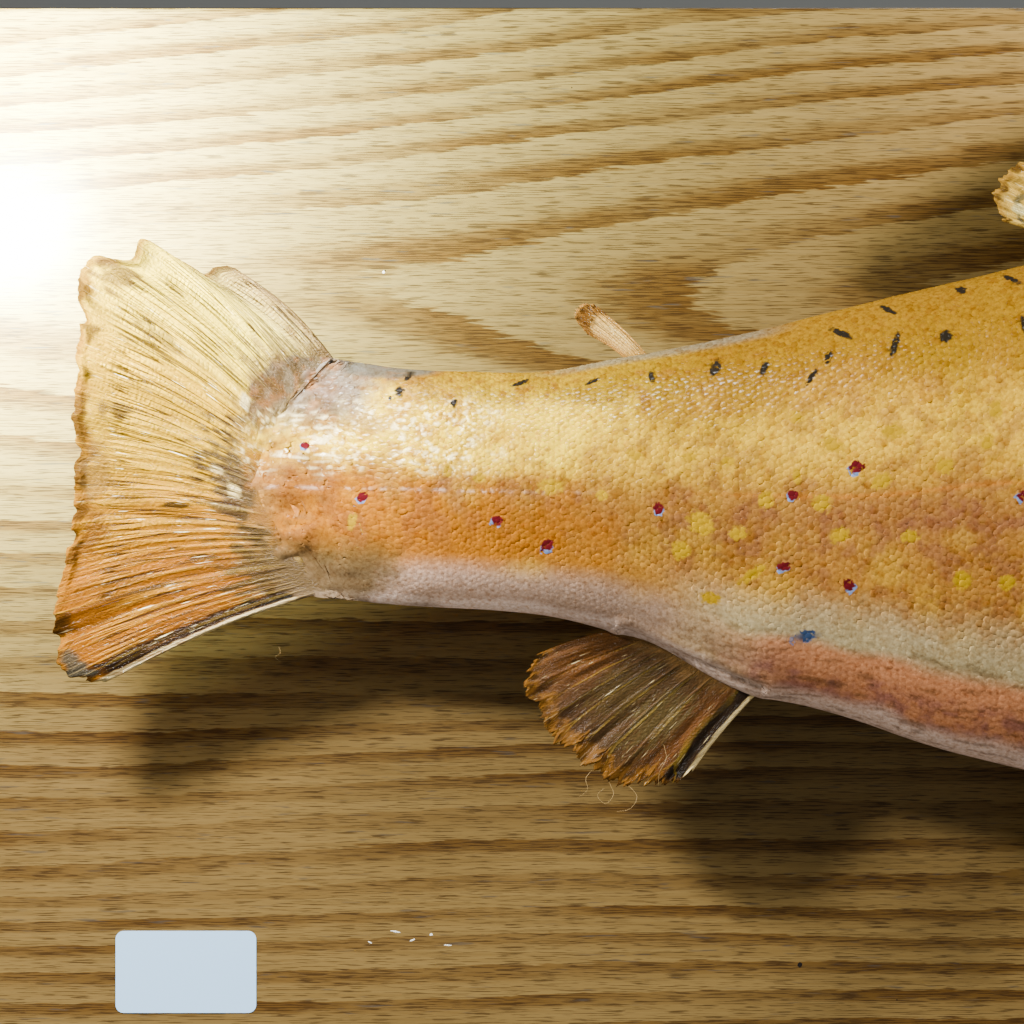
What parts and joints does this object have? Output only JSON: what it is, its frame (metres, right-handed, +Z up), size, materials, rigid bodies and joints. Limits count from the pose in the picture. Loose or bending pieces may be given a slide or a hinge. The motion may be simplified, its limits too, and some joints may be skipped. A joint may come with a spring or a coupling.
{
  "type": "mounted brook trout",
  "caption": "Life-size mounted brook trout shown side-on with spread fins, fixed to a lacquered oak board that hangs on a wall.",
  "frame": {"origin": "centre of the board's back face, the face that lies against the wall", "axes": "+Y into the wall, out of the board's back face; +X from the tail to the snout along the board; +Z up"},
  "size_m": [0.66, 0.1183, 0.286],
  "materials": {
    "adipose_fin": "dried fin, amber with a brown rim, glossy varnish",
    "anal_fin": "dried fin, amber and brown, white front edge with a black stripe, glossy varnish",
    "board": "plain-sawn oak, open pores, gloss lacquer",
    "caudal_fin": "dried fin, amber rays, brown membrane, dark smudges, glossy varnish",
    "dorsal_fin": "dried fin, yellow-brown with dark wavy marks, glossy varnish",
    "glass_eye": "glass taxidermy eye, golden iris, black pupil",
    "skin": "varnished trout skin, golden ochre to orange, yellow dabs and red spots, pale belly",
    "hanger": "zinc-plated steel strip and nails",
    "blocks": "sawn pine, bare",
    "card": "thin white card with round corners, blank",
    "pectoral_fin": "dried fin, orange, white front edge with a black stripe, glossy varnish",
    "pelvic_fin": "dried fin, orange, white front edge with a black stripe, glossy varnish",
    "screws": "zinc-plated wood screws"
  },
  "bodies": {
    "root": {"adipose_fin": "adipose_fin", "anal_fin": "anal_fin", "board": "board", "caudal_fin": "caudal_fin", "dorsal_fin": "dorsal_fin", "eye_left": "glass_eye", "eye_right": "glass_eye", "gill_cover_left": "skin", "gill_cover_right": "skin", "hanger": "hanger", "hanger_nail_left": "hanger", "hanger_nail_right": "hanger", "head": "skin", "lower_jaw": "skin", "mounting_block_front": "blocks", "mounting_block_rear": "blocks", "number_card": "card", "pectoral_fin_left": "pectoral_fin", "pectoral_fin_right": "pectoral_fin", "pelvic_fin_left": "pelvic_fin", "pelvic_fin_right": "pelvic_fin", "screw_1": "screws", "screw_2": "screws", "screw_3": "screws", "screw_4": "screws", "tail_stem": "skin", "trunk": "skin", "upper_lip_left": "skin", "upper_lip_right": "skin"}
  },
  "joints": []
}
